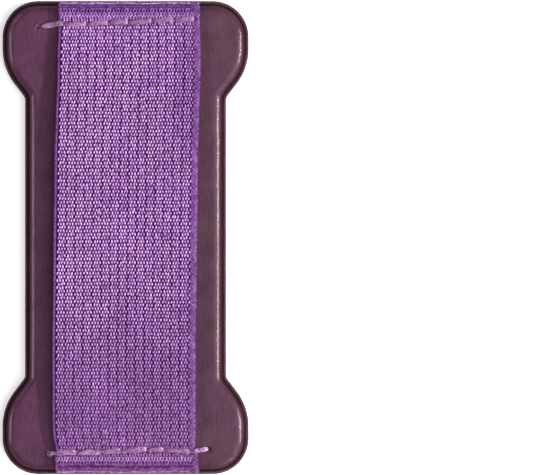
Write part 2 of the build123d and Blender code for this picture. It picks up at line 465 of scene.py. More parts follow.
def weave_tables():
    """Each float's own differences, by row and column."""
    spreads = {"across": 0.035, "along": 0.05, "lean": 5, "length": 0.05, "height": 0.07, "tone": 0.085}
    rng = np.random.default_rng(7)
    size = (2 * ROWS_EACH_WAY, COLUMNS + 2)
    return {key: rng.normal(0, spread, size) for key, spread in spreads.items()}


WEAVE = weave_tables()


def every_third(place_in_columns):
    """How far a place is from the nearest of the lines that stand three columns apart, in millimetres."""
    return COLUMN_PITCH * (place_in_columns - 3 * np.rint(place_in_columns / 3))


def floats(u, t):
    """The woven face: its height (0 in the gaps, 1 on the floats), its tone, painted lighter as highlight
    where the floats rise, and its deepest gaps.
    """
    u = u + 0.1 * noise(u, t, 9, 14, 31) + 0.04 * noise(u, t, 2, 3, 32)
    t = t + 0.14 * noise(u, t, 12, 16, 33) + 0.05 * noise(u, t, 2.5, 2, 34)
    height, tone, forks = np.zeros_like(u), np.zeros_like(u), np.zeros_like(u)
    for step in (0, 1):
        row = np.floor(t / ROW_PITCH).astype(int) + step
        odd = row % 2
        place_in_row = (u - WEAVE_LEFT) / COLUMN_PITCH - 0.5 - 0.5 * odd
        column = np.clip(np.rint(place_in_row).astype(int), 0, COLUMNS - 1)
        mine = {key: table[row + ROWS_EACH_WAY, column] for key, table in WEAVE.items()}
        kind = (column - odd) % 3
        straight = kind == 2
        inward = np.where(odd == 1, np.choose(kind, (0, -1, 1)), np.choose(kind, (1, 0, -1)))
        lean = np.radians(np.choose(kind, (FLOAT_LEAN, -FLOAT_LEAN, 0)) + mine["lean"])
        middle = WEAVE_LEFT + (column + 0.5 + 0.5 * odd) * COLUMN_PITCH
        across = u - middle - inward * GROUP_GAP - mine["across"]
        along = t - (row * ROW_PITCH + mine["along"])
        side = across * np.cos(lean) - along * np.sin(lean)
        ahead = across * np.sin(lean) + along * np.cos(lean)
        half_width = np.where(straight, STRAIGHT_FLOAT[0], LEANING_FLOAT[0])
        length = np.where(straight, STRAIGHT_FLOAT[1], LEANING_FLOAT[1]) * (1 + mine["length"])
        reach = (side / half_width) ** 2 + (ahead / length) ** 2
        rise = np.clip(1 - reach, 0, 1) ** 0.6 * (np.where(straight, 1.0, 0.93) + mine["height"])
        # painted highlight: the tone grows with the float's height
        light = rise**0.9 * (np.where(straight, 1.02, 0.94) + mine["tone"])
        higher = rise > height
        height = np.where(higher, rise, height)
        tone = np.where(higher, light, tone)
        fork = every_third((u - WEAVE_LEFT) / COLUMN_PITCH - 1 - 1.5 * odd)
        forks = np.maximum(forks, hump(fork, 0, 0.15) * hump(t, row * ROW_PITCH - 0.3, 0.19))
    swing = 0.25 * (1 - np.cos(math.pi * t / ROW_PITCH))
    channels = hump(every_third((u - WEAVE_LEFT) / COLUMN_PITCH - swing), 0, 0.16)
    return np.clip(height, 0, 1.15), tone, np.maximum(0.72 * channels, 0.8 * forks)


def band_section(t):
    """At each place t along the band: Y and Z of its middle, the outward Y and Z, width and thickness."""
    size = np.abs(t)
    sewn = smooth((size - MIDDLE_Y) / (FREE_Y - MIDDLE_Y))
    thick = BAND_T + (BAND_END_T - BAND_T) * smooth((size - FREE_Y + 4) / 4)
    gap = MIDDLE_GAP * (1 - sewn)
    angle = np.clip((size - BEND_START) / BEND_R, 0, BEND_ANGLE)
    tail = np.clip(size - BEND_START - BEND_R * BEND_ANGLE, 0, None)
    y = np.minimum(size, BEND_START) + BEND_R * np.sin(angle) + tail * np.cos(angle)
    z = PAD_HEIGHT + gap + thick / 2 - BEND_R * (1 - np.cos(angle)) - tail * np.sin(angle)
    width = BAND_LAID_WIDTH + (BAND_END_WIDTH - BAND_LAID_WIDTH) * smooth((size - 47) / 9)
    return np.sign(t) * y, z, np.sign(t) * np.sin(angle), np.cos(angle), width, thick


def ring_row(u, t, middle, half_height, shift):
    """A row of open loops beyond the last stitches, with a yarn standing between each two: how raised they
    are, and the spots in and between them, which are painted dark as shade."""
    across = (u - WEAVE_LEFT) / LOOP_PITCH - shift
    across = LOOP_PITCH * (across - np.rint(across))
    reach = np.hypot(across / 0.4, (t - middle) / half_height)
    in_row = hump(t, middle, 0.9 * half_height)
    yarn = hump(np.abs(across), LOOP_PITCH / 2, 0.15) * in_row
    between = hump(np.abs(across), LOOP_PITCH / 3, 0.17) * in_row
    return hump(reach, 1, 0.3) + 0.6 * yarn, np.exp(-((reach / 0.6) ** 2)) + between


def loops(u, t):
    """Height and tone of the open loops at both ends of the band, their rims painted lighter as highlight
    and the spots in and between them painted dark as shade.
    """
    u = u + 0.12 * noise(u, t, 2, 2, 55)
    rims, spots = 0, 0
    for middle, half_height, shift in LOOP_ROWS:
        rim, spot = ring_row(u, t, middle, half_height, shift)
        strength = 1 + 0.35 * noise(u, t, 1.2, 30, 56)
        rims, spots = rims + strength * rim, spots + spot
    spots = np.clip(spots, 0, 1)
    fine = np.cos(2 * math.pi * (u - WEAVE_LEFT) / COLUMN_PITCH) * np.cos(2 * math.pi * t / ROW_PITCH)
    clear = 1.1 - 0.3 * smooth((-t - 58) / 0.3)
    # painted highlight on the rims, painted shade in and between the loops
    tone = 0.42 + 0.29 * clear * np.clip(rims, 0, 1.3) - 0.47 * clear * spots
    tone = tone + 0.12 * noise(u, t, 0.35, 0.4, 54) + 0.1 * smooth((58.8 - np.abs(t)) / 0.4)
    tone = tone + 0.05 * fine * smooth(-t) + 0.12 * hump(t, -57.5, 0.5) - 0.06 * hump(t, -58.8, 0.4)
    tone = tone + 0.1 * hump(t, 57.6, 0.7) - 0.04 * hump(t, 59.1, 0.5)
    return 0.55 + 0.4 * np.clip(rims, 0, 1.2) - 0.5 * spots, tone


def pressed_end(u, t):
    """Height and tone of the band's pressed and cut ends, and how far they take over from the loops. Their
    crease lines are painted dark as shade, and the last few tenths of a millimetre at each end are painted
    dark as shadow.
    """
    waver = 0.16 * noise(u, t, 2.5, 50, 51) + 0.09 * noise(u, t, 0.6, 50, 52)
    top, low = t + waver, -t + waver
    share = smooth((top - 59.65) / 0.2) + smooth((low - 59.1) / 0.3)
    broken = 0.5 + 0.5 * noise(u, t, 0.7, 50, 57)
    patchy = smooth(0.8 + 1.2 * noise(u, t, 2.2, 50, 58))
    bright = hump(top, 61.15, 0.2) * (0.3 + 0.7 * broken)
    bright += hump(low, 61.25, 0.2) * (0.1 + 0.5 * broken) + 0.22 * hump(low, 59.3, 0.13) * broken
    # painted shade in the crease lines, and painted shadow over the band's tips
    dark = 0.5 * hump(top, 59.82, 0.13) + (0.3 + 0.5 * patchy) * hump(top, 60.68, 0.13)
    dark += (0.35 + 0.35 * patchy) * hump(low, 59.65, 0.26)
    dark += smooth((top - 61.55) / 0.15) + 0.8 * smooth((low - 61.6) / 0.15)
    dark = np.clip(dark, 0, 1)
    warp = np.cos(2 * math.pi * (u - WEAVE_LEFT) / COLUMN_PITCH + noise(u, t, 3, 1, 53))
    grain = 0.13 * noise(u, t, 0.5, 0.45, 59) + 0.12 * warp * np.cos(2 * math.pi * t / 1.1)
    tone = (0.34 + 0.04 * smooth((low - 60) / 0.4) + grain + bright) * (1 - 0.78 * dark)
    return 0.5 + 0.35 * bright - 0.4 * dark + 0.9 * grain, tone, share


def woven(u, t):
    """Height and tone of the weave. Towards the bottom and the top right its floats are painted dimmer, as
    shade, and it closes up.
    """
    height, tone, deep = floats(u, t)
    # painted shade: the floats dim towards the bottom and the top right
    dimming = 1 - 0.34 * smooth((-t - 2) / 50) - 0.2 * smooth((u - 9) / 8) * smooth((t - 5) / 30)
    deep = deep * (1 - 0.7 * smooth((-t - 15) / 35)) * smooth((16.3 - u) / 0.7)
    # painted shade: the gaps between the floats are dark, and darker still in the deepest channels and
    # forks
    gap_tone = (0.25 + 0.05 * noise(u, t, 1.1, 1.3, 43)) * (1 - 0.92 * deep)
    tone = gap_tone + (1 - gap_tone) * tone * dimming * (1.02 - 0.0025 * u)
    return height - 0.18 * deep, tone


def corded_edge(u, t):
    """Height and tone of the rolled cord along the left edge: painted lighter as highlight on the beads of
    its crest and darker as shade past its outer side.
    """
    beads = 0.2 + 0.12 * np.cos(2 * math.pi * t / ROW_PITCH)
    # painted highlight on the crest's beads, painted shade past the outer side
    tone = 0.29 + beads * hump(u, -18.62, 0.14) - 0.12 * smooth((-18.75 - u) / 0.3)
    tone += 0.09 * noise(u, t, 0.4, 0.6, 44)
    return 0.62 + 0.2 * hump(u, -18.6, 0.22) + 0.12 * noise(u, t, 0.5, 0.7, 41), tone


def overlocked_edge(u, t):
    """Height and tone of the slanting turns of thread over the right edge: each turn painted lighter where
    it rises, with painted shade between the turns and where the edge rolls down.
    """
    turn = t / ROW_PITCH + (u - 17.6) / 1.2 + 0.22 * noise(u, t, 0.9, 1.7, 42)
    hatch = np.abs(np.sin(math.pi * turn)) ** 0.7
    # painted highlight on the turns, painted shade where the edge rolls down and, in the next line, between
    # the turns
    tone = 0.28 + 0.18 * hatch + 0.13 * noise(u, t, 0.4, 0.5, 45) - 0.12 * smooth((u - 18.5) / 0.5)
    tone -= 0.1 * hump(u, 17.75, 0.25) * hump(turn - np.rint(turn), 0, 0.2)
    return 0.4 + 0.35 * hatch, tone


def press_stitches(x, t, rise, tone, height, thick):
    """The face as both stitch rows press it: sunk under the thread, raised in a lip on either side of it,
    and pitted at the needle's holes. The sunk channel and the pits are painted darker as shade."""
    for row, holes in HOLES.items():
        away = t - row_line(row, x)
        span = smooth((x - holes[0, 0]) / 0.4) * smooth((holes[-1, 0] - x) / 0.4)
        sunk = span * np.exp(-((away / 0.66) ** 4))
        rise = rise * (1 - sunk) + np.minimum(rise, thick / 2 - 0.5) * sunk
        rise = rise - 0.08 * span * hump(away, 0, 1.6)
        rise = rise + 0.1 * span * hump(np.abs(away), 0.95, 0.3) * np.clip(height, 0, 1)
        # painted shade in the sunk channel under the thread
        tone = tone * (1 - 0.4 * sunk)
        for hx, hy in holes[1:]:
            pit = np.hypot(x - hx - NOTCH[0], (t - hy - NOTCH[1]) * 0.8) / 0.27
            pit = np.exp(-(pit**3))
            rise = rise - 0.45 * pit
            # painted shade in the needle's pit
            tone = tone * (1 - 0.85 * pit)
    return rise, tone


def place_across(u, t, width):
    """Where a place across the band lies in X. The corner at the top right is rubbed round, the bottom
    stitches draw the band in a little, and below them its right edge splays out."""
    wear_and_painted_light = 0.9 * smooth((t - 60) / 2) ** 2 * smooth((u - 15.5) / 3.5)
    splayed = 0.5 * smooth((-t - 56.3) / 1.2) * smooth((u - 8) / 11)
    drawn_in = 1 - 0.02 * hump(t, -55.4, 1.6)
    return u * drawn_in * width / BAND_WIDTH + through(BAND_WANDER, t) - wear_and_painted_light + splayed


def take_over(under, over, share):
    """Height and tone of one pattern, with the other's in their place where share is 1."""
    return [low + share * (high - low) for low, high in zip(under, over)]


def band_face(u, t, width, thick):
    """X of the face's points, their height above the band's middle plane, and their tone."""
    looped = smooth((t - 57.0) / 0.3) + smooth((-t - 57.15) / 0.3)
    face = take_over(woven(u, t), loops(u, t), looped)
    *end, pressed = pressed_end(u, t)
    face = take_over(face, end, pressed)
    face = take_over(face, corded_edge(u, t), 1 - smooth((u - WEAVE_LEFT + 0.15) / 0.2))
    height, tone = take_over(face, overlocked_edge(u, t), 1 - smooth((WEAVE_RIGHT - u) / 0.3))
    tone *= 1 + 0.05 * noise(u, t, 8, 11, 46) + 0.05 * noise(u, t, 2.2, 3, 47)
    flatter = np.maximum(smooth((np.abs(t) - FREE_Y + 3) / 4), 0.7 * smooth((-t - 25) / 28))
    rise = thick / 2 - (RELIEF + (END_RELIEF - RELIEF) * flatter) * (1 - height)
    x = place_across(u, t, width)
    rise, tone = press_stitches(x, t, rise, tone, height, thick)
    return x, rise, np.clip(tone, 0, 1)


def scallops(u, t):
    """How far the overlocked edge swings out and in along the band, in X."""
    return 0.05 * np.sin(2 * math.pi * t / ROW_PITCH) * smooth((u - 18.3) / 0.6)


def band_edges(u):
    """The round of both edges: 1 over the band and falling to 0 at its two sides."""
    reach = BAND_WIDTH / 2 - np.abs(u)
    return np.sqrt(np.clip(1 - np.clip(1 - reach / 0.62, 0, 1) ** 2, 0, 1))


def spread(columns):
    """Places across the band, closer together at its two rounded edges."""
    edge = np.array([0, 0.02, 0.08, 0.17, 0.28, 0.42])
    half = BAND_WIDTH / 2
    middle = np.linspace(-half + 0.56, half - 0.56, columns)
    return np.concatenate([-half + edge, middle, half - edge[::-1]])


def build_band(name, material, start, end):
    """One closed length of the band, from start to end along it."""
    rows = int(math.ceil((end - start) / GRID_T)) + 1
    t = np.linspace(start, end, rows)[:, None]
    top_u = spread(int(BAND_WIDTH / GRID_U))[None, :]
    low_u = spread(UNDERSIDE_COLUMNS)[None, ::-1]
    y, z, out_y, out_z, width, thick = band_section(t)
    u, tt = np.broadcast_arrays(top_u, t)
    x, rise, tone = band_face(u, tt, width, thick)
    rise = (rise + thick / 2 - 0.45) * band_edges(u) - (thick / 2 - 0.45)
    top = np.stack([x + scallops(u, tt), y + out_y * rise, z + out_z * rise], 2)
    u, tt = np.broadcast_arrays(low_u, t)
    ribs = 0.05 * np.cos(2 * math.pi * u / COLUMN_PITCH / 2) * np.cos(2 * math.pi * tt / ROW_PITCH)
    drop = (thick / 2 - 0.06 + ribs - 0.35) * band_edges(u) + 0.35
    x = place_across(u, tt, width) + scallops(u, tt)
    low = np.stack([x, y - out_y * drop, z - out_z * drop], 2)
    # painted highlight on the underside's ribs and painted shade between them, with random tone
    low_tone = 0.4 + 2.2 * ribs + 0.06 * noise(u, tt, 1.5, 2, 48)
    points = np.concatenate([top, low], 1)
    tones = np.concatenate([tone, low_tone], 1).reshape(-1)
    around = points.shape[1]
    index = np.arange(rows * around).reshape(rows, around)
    after = np.roll(index, -1, 1)
    quads = np.stack([index[:-1], after[:-1], after[1:], index[1:]], 2).reshape(-1, 4)
    faces = quads.tolist() + [index[0, ::-1].tolist(), index[-1].tolist()]
    return make_piece(name, points.reshape(-1, 3), faces, material, {"tone": tones}, flat_faces=2)


def build_bands(material):
    """The band in three lengths: one that lifts, and two that bend from the pad's ends up to it."""
    middle = build_band("elastic_middle", material, -MIDDLE_Y, MIDDLE_Y)
    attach(middle, "band")
    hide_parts("band_middle")
    for end, sign in ENDS.items():
        places = sorted((sign * MIDDLE_Y, sign * BAND_REACH))
        piece = build_band(f"elastic_{end}", material, *places)
        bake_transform(piece)
        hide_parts(f"band_{end}_end", f"band_{end}_span")


def curved_tube(points, radii, sides=6):
    """Rings round a path of points."""
    points = np.asarray(points, float)
    ahead = np.gradient(points, axis=0)
    ahead /= np.linalg.norm(ahead, axis=1)[:, None]
    side = np.cross(ahead, (0.13, 0.21, 0.97))
    side /= np.linalg.norm(side, axis=1)[:, None]
    up = np.cross(side, ahead)
    angles = np.linspace(0, 2 * math.pi, sides, endpoint=False)
    ring = side[:, None] * np.cos(angles)[:, None] + up[:, None] * np.sin(angles)[:, None]
    return points[:, None] + ring * np.asarray(radii)[:, None, None]


def build_cut_yarns(end, material):
    """The yarns' ends that stand out of the band's cut edge, and the finer fuzz among them."""
    rng = np.random.default_rng(61 if end == "top" else 62)
    parts = Parts()
    t = ENDS[end] * (BAND_REACH - 0.12)
    y, z, out_y, out_z, width, _ = (float(v) for v in band_section(np.array(t)))
    along = np.array([0, ENDS[end] * out_z, -abs(out_y)])
    out = np.array([0, out_y, out_z])
    middle_x = float(through(BAND_WANDER, t))
    for layer, count, length, radius in YARN_LAYERS:
        for i in range(count):
            x = middle_x + width * ((i + 0.5 + rng.uniform(-0.3, 0.3)) / count - 0.5) * 0.985
            start = np.array([x, y, z]) + out * (layer + rng.uniform(-0.1, 0.1))
            way = along + np.array([rng.normal(0, 0.28), 0, 0]) + out * rng.normal(0.12, 0.25)
            bend = np.array([rng.normal(0, 0.1), 0, 0]) + out * rng.normal(0, 0.06)
            steps = np.linspace(0, 1, 4)[:, None]
            path = start + way * steps * length * rng.uniform(0.55, 1.25) + bend * steps**2
            radii = radius * rng.uniform(0.75, 1.15) * np.array([1, 1.05, 0.9, 0.45])
            parts.add_tube(curved_tube(path, radii), rng.uniform(0.35, 0.85))
    return place(parts.piece(f"cut_yarns_{end}", material))


# ---------------------------------------------------------------- stitches


def thread_bed(x, y):
    """The height of the surface that a face stitch lies on."""
    t = np.clip(y, -BEND_START, BEND_START)
    half = BAND_END_WIDTH / 2
    middle = through(BAND_WANDER, t)
    on_band = smooth((x - middle + half + 0.55) / 0.9) * smooth((middle + half + 0.55 - x) / 0.9)
    return PAD_HEIGHT - 0.06 + (BAND_END_T - 0.42) * on_band


def add_stitch(
    parts, start, end, bed, up, width, thick, start_taper, rng,
    plies=6, ply_length=PLY_LENGTH, ply_depth=0.1, tone=0, end_highlight=0.2, shade=0.0,
):
    """A flattened, twisted strand. It climbs slowly out of one hole, from under the stitch before it, and
    its blunt far end drops into the next hole. Its tone is painted: darker as shade where it climbs out and
    where the stitch before shadows it, with a painted highlight on its blunt end and on its plies' crests."""
    length = float(np.linalg.norm(end - start))
    count = max(14, int(length / 0.12))
    s = np.linspace(0, 1, count + 1)
    at = s * length
    left = length - at
    xy = start + (end - start) * s[:, None]
    side = np.array([-(end - start)[1], (end - start)[0]]) / length
    bow = 0.1 * np.sin(math.pi * s) * rng.normal() + 0.04 * np.sin(3 * math.pi * s) * rng.normal()
    xy = xy + side * bow[:, None]
    climb = (1 - smooth(at / min(3.2, 0.6 * length))) * (0.4 if start_taper else 1)
    drop = np.clip(1 - left / 0.6, 0, 1) ** 2 + (np.clip(1 - at / 0.6, 0, 1) ** 2 if start_taper else 0)
    blunt = np.sqrt(np.clip(1 - np.clip(1 - (left + 0.06) / 0.55, 0, 1) ** 2, 0, 1))
    wide = width * (0.62 + 0.38 * (1 - climb)) * blunt * (1 + 0.06 * rng.normal())
    wide = wide * np.sqrt(np.clip(0.04 + at / start_taper, 0, 1)) if start_taper else wide
    wide = wide * (1 + 0.05 * np.sin(2 * math.pi * (1.3 * s + rng.uniform())))
    z = bed(xy[:, 0], xy[:, 1]) + up * (thick * 0.3 + 0.05 * np.sin(math.pi * s))
    z = z - up * (0.24 * climb + 0.7 * drop)
    angles = np.linspace(0, 2 * math.pi, 36, endpoint=False)
    phase = rng.uniform(0, 6) + 2 * math.pi * at / ply_length + 0.3 * np.sin(2 * math.pi * s * 1.7)
    crest = np.abs(np.cos(plies / 2 * (angles[None, :] - phase[:, None]))) ** 0.7
    ragged = noise(at[:, None], 3 * np.cos(angles)[None, :], 0.25, 1.2, int(rng.integers(1000)))
    radius = 1 - ply_depth * (1 - crest) + 0.07 * ragged
    across = np.cos(angles) * radius * wide[:, None] / 2
    places = xy[:, None] + side * across[:, :, None]
    rise = z[:, None] + np.sin(angles) * radius * thick / 2
    rings = np.concatenate([places, rise[:, :, None]], 2)
    # painted light: darker where the strand climbs out from under the stitch before, lighter where it lies
    # high, a painted highlight on the blunt end, and random tone; the next line paints the shadow of the
    # stitch before
    wear_and_painted_light = 0.32 + tone + 0.18 * (1 - climb) + end_highlight * hump(left, 0.55, 0.5) + 0.05 * rng.normal()
    wear_and_painted_light = wear_and_painted_light - shade * hump(at, UNDERLAP + 0.25, 0.3)
    streaks = 0.16 * noise(at[:, None], 6 * np.cos(angles)[None, :], 0.6, 0.8, int(rng.integers(1000)))
    # the plies' crests painted lighter as highlight, with random streaks
    parts.add_tube(rings, np.clip(wear_and_painted_light[:, None] + ply_depth * crest + streaks + 0.12 * ragged, 0.04, 1))


def build_needle_thread(row, material):
    """The thread on the pad's face. The bottom row's is looser, with a two-ply cord at both its ends."""
    rng = np.random.default_rng(71 if row == "top" else 72)
    parts = Parts()
    holes = HOLES[row]
    loose = row == "bottom"
    for i, (start, end) in enumerate(zip(holes[:-1], holes[1:])):
        first, last = i == 0, i == len(holes) - 2
        cord = loose and (first or last)
        taper = 1.1 if first and not loose else 0
        width = THREAD_W * (0.92 if cord else 1.1 if last else 1)
        # painted light: shade is the painted shadow of the stitch before, and the blunt end gets a painted
        # highlight
        look = {"shade": 0 if first else 0.3, "tone": 0.07 * loose, "end_highlight": 0.05 if first else 0.2}
        if cord:
            look = {"plies": 2, "ply_length": 2.6, "ply_depth": 0.3, "end_highlight": look["end_highlight"]}
            look["tone"] = -0.12 if last else -0.16
        start = start + ((0.9, 0.05) if taper else (0, 0) if cord else (-UNDERLAP, -SLANT))
        end = end + (0, 0 if last else SLANT)
        add_stitch(parts, start, end, thread_bed, 1, width, THREAD_T, taper, rng, **look)
    piece = parts.piece(f"needle_thread_{row}", material)
    return place(piece, [f"{row}_needle_thread"])


def build_bobbin_thread(row, material):
    """The thread on the pad's back, sunk in its channel."""
    rng = np.random.default_rng(73 if row == "top" else 74)
    parts = Parts()
    holes = HOLES[row]

    def bed(x, y):
        return np.full(np.shape(x), BACK_THREAD_Z)

    gap = np.array([0.1, 0])
    for start, end in zip(holes[:-1], holes[1:]):
        add_stitch(parts, start + gap, end - gap, bed, -1, THREAD_W * 0.85, BACK_THREAD_T, 0, rng)
    piece = parts.piece(f"bobbin_thread_{row}", material)
    return place(piece, [f"{row}_bobbin_thread"])


def drift(x, y, heading, length):
    """The places along a fibre of that length from (x, y) on, as its heading turns."""
    step = length / len(heading)
    return x + np.cumsum(np.cos(heading)) * step, y + np.cumsum(np.sin(heading)) * step


def add_fuzz(parts, row, count, rng):
    """Loose filaments along a row of stitches, lying over the thread and the weave beside it."""
    holes = HOLES[row]
    for _ in range(count):
        x = rng.uniform(-18.5, min(holes[-1, 0], 18.3))
        y = row_line(row, x) + rng.normal(0, 0.5)
        length = rng.uniform(0.5, 1.6)
        s = np.linspace(0, 1, 6)
        heading = rng.normal(0, 0.5) + rng.normal(0, 0.9) * s
        x, y = drift(x, y, heading, length)
        z = thread_bed(x, y) + 0.58 + rng.uniform(-0.06, 0.06) - 0.36 * (2 * s - 1) ** 4
        radii = rng.uniform(0.045, 0.085) * np.array([0.5, 0.9, 1, 1, 0.9, 0.5])
        tube = curved_tube(np.column_stack([x, y, z]), radii, sides=5)
        parts.add_tube(tube, rng.uniform(0.35, 0.85))


def build_stray_fibres(material):
    """Fine fibres pulled out of the threads: fuzz along both rows, and curls at the bare holes."""
    rng = np.random.default_rng(81)
    parts = Parts()
    add_fuzz(parts, "top", 110, rng)
    add_fuzz(parts, "bottom", 260, rng)
    for (hx, hy), count, reach in zip(BARE_HOLES, (4, 8, 2), (1.3, 1.6, 0.7)):
        for _ in range(count):
            turn = rng.uniform(0, 2 * math.pi)
            curl = rng.uniform(2.2, 4.5) * rng.choice((-1, 1))
            length = reach * rng.uniform(0.5, 1.1)
            s = np.linspace(0, 1, 9)
            x, y = drift(hx, hy, turn + curl * s, length)
            z = PAD_HEIGHT - 0.12 + 0.3 * np.sin(math.pi * s * 0.8) + 0.12 * s
            tube = curved_tube(np.column_stack([x, y, z]), 0.07 - 0.04 * s, sides=5)
            parts.add_tube(tube, rng.uniform(0.4, 0.75))
    return place(parts.piece("stray_fibres", material))


# ---------------------------------------------------------------- materials


class Nodes:
    """A short way to write a material's nodes."""

    def __init__(self, name):
        self.material = bpy.data.materials.new(name)
        self.material.use_nodes = True
        self.tree = self.material.node_tree
        self.shader = self.tree.nodes["Principled BSDF"]

    def feed(self, socket, value):
        """Links a node's output to a socket, or sets a plain value on it."""
        if isinstance(value, bpy.types.NodeSocket):
            self.tree.links.new(value, socket)
        else:
            socket.default_value = value

    def add(self, kind, inputs=None, **settings):
        node = self.tree.nodes.new(kind)
        for key, value in settings.items():
            setattr(node, key, value)
        for key, value in (inputs or {}).items():
            self.feed(node.inputs[key], value)
        return node

    def place_scaled(self, scale):
        where = self.add("ShaderNodeTexCoord").outputs["Object"]
        return self.add("ShaderNodeMapping", {"Vector": where, "Scale": scale}).outputs["Vector"]

    def noise(self, scale, detail=3.0, roughness=0.55, stretch=(1, 1, 1)):
        where = self.place_scaled([scale * s for s in stretch])
        inputs = {"Vector": where, "Scale": 1.0, "Detail": detail, "Roughness": roughness}
        return self.add("ShaderNodeTexNoise", inputs).outputs["Fac"]

    def cells(self, scale):
        """The distance to the nearest edge between cells."""
        inputs = {"Vector": self.place_scaled([scale] * 3), "Scale": 1.0}
        return self.add("ShaderNodeTexVoronoi", inputs, feature="DISTANCE_TO_EDGE").outputs["Distance"]

    def ramp(self, value, stops):
        node = self.add("ShaderNodeValToRGB", {"Fac": value})
        elements = node.color_ramp.elements
        while len(elements) < len(stops):
            elements.new(0.5)
        for element, (place_at, colour) in zip(elements, stops):
            element.position = place_at
            element.color = (*colour, 1)
        return node.outputs["Color"]

    def spread(self, value, low, high):
        inputs = {"Value": value, "To Min": low, "To Max": high}
        return self.add("ShaderNodeMapRange", inputs).outputs["Result"]

    def mix(self, share, first, second, blend="MIX"):
        # A colour mix's own sockets are inputs 0, 6 and 7 and output 2
        inputs = {0: share, 6: first, 7: second}
        return self.add("ShaderNodeMix", inputs, data_type="RGBA", blend_type=blend).outputs[2]

    def along(self, axis, low, high):
        """0 to 1 along an axis, between two places in metres."""
        where = self.add("ShaderNodeTexCoord").outputs["Object"]
        value = self.add("ShaderNodeSeparateXYZ", {"Vector": where}).outputs[axis]
        inputs = {"Value": value, "From Min": low, "From Max": high}
        return self.add("ShaderNodeMapRange", inputs).outputs["Result"]

    def attribute(self, name):
        return self.add("ShaderNodeAttribute", attribute_name=name).outputs["Fac"]

    def bump(self, height, strength, distance, under=None):
        inputs = {"Height": height, "Strength": strength, "Distance": distance}
        if under is not None:
            inputs["Normal"] = under
        return self.add("ShaderNodeBump", inputs).outputs["Normal"]

    def finish(self, colour, normal, roughness, **numbers):
        self.feed(self.shader.inputs["Base Color"], colour)
        self.feed(self.shader.inputs["Normal"], normal)
        self.feed(self.shader.inputs["Roughness"], roughness)
        for key, value in numbers.items():
            self.shader.inputs[key.replace("_", " ")].default_value = value
        return self.material


def leather_material(name, dark, light, rough, specular):
    """Dyed leather: cloudy colour, lengthwise streaks, pores, a burnished crease and a steep wall darkened
    further with painted shade, a polished shoulder, and painted side light across the pad.
    """
    n = Nodes(name)
    cloudy = n.ramp(n.noise(170, detail=5, roughness=0.6), [(0.3, dark), (0.72, light)])
    tan = n.ramp(n.noise(95, detail=3), [(0.42, (0, 0, 0)), (0.66, (0.5,) * 3)])
    cloudy = n.mix(tan, cloudy, n.mix(1.0, cloudy, (1.0, 1.3, 0.68, 1), "MULTIPLY"))
    # painted side light: the left side darker and more purple, the right side lighter and browner, as if
    # lit from the right
    painted_side_light = n.ramp(n.along("X", -0.03, 0.03), [(0.1, (0.94, 0.76, 0.97)), (0.9, (0.98, 1.05, 0.91))])
    cloudy = n.mix(1.0, cloudy, painted_side_light, "MULTIPLY")
    streaks = n.noise(1.0, detail=4, stretch=(1900, 330, 600))
    streaked = n.mix(0.35, cloudy, n.ramp(streaks, [(0.32, [c * 0.6 for c in dark]), (0.72, light)]))
    inset = n.add("ShaderNodeMath", {0: n.attribute("inset"), 1: RING_INSET}, operation="DIVIDE").outputs[0]
    # painted shade and the edge's own colour, by inset from the edge: the outer edge darker, the flange's
    # top lighter, the crease burnished and darkened further as shade, the steep wall darkened as shade
    wear_and_painted_light = [
        (0.0, (0.8, 0.95, 0.75)),
        (0.07, (1.3, 1.85, 1.2)),  # the flange's top, lighter
        (0.15, (0.85, 1.15, 0.75)),
        (0.22, (0.2, 0.11, 0.15)),  # the burnished crease, darker still with painted shade
        # the steep wall, painted dark as shade
        (0.29, (0.24, 0.15, 0.15)),
        (0.38, (0.38, 0.29, 0.27)),
        (0.5, (0.84, 0.76, 0.77)),  # the shoulder
        (0.62, (0.94, 0.9, 0.92)),
        (0.85, (0.94, 0.94, 0.96)),
    ]
    colour = n.mix(1.0, streaked, n.ramp(inset, wear_and_painted_light), "MULTIPLY")
    pores = n.cells(2700)
    fine = n.noise(7500, detail=2)
    normal = n.bump(n.ramp(pores, [(0.0, (0, 0, 0)), (0.25, (1, 1, 1))]), 0.14, 0.00006)
    normal = n.bump(fine, 0.16, 0.00005, normal)
    normal = n.bump(streaks, 0.35, 0.00014, normal)
    field_rough = n.spread(n.noise(420, detail=4), rough - 0.06, rough + 0.1)
    smoother = (0.36,) * 3
    polish = n.ramp(inset, [(0.3, (1, 1, 1)), (0.42, smoother), (0.62, smoother), (0.8, (1, 1, 1))])
    roughness = n.add("ShaderNodeMath", {0: field_rough, 1: polish}, operation="MULTIPLY").outputs[0]
    return n.finish(colour, normal, roughness, Specular_IOR_Level=specular)


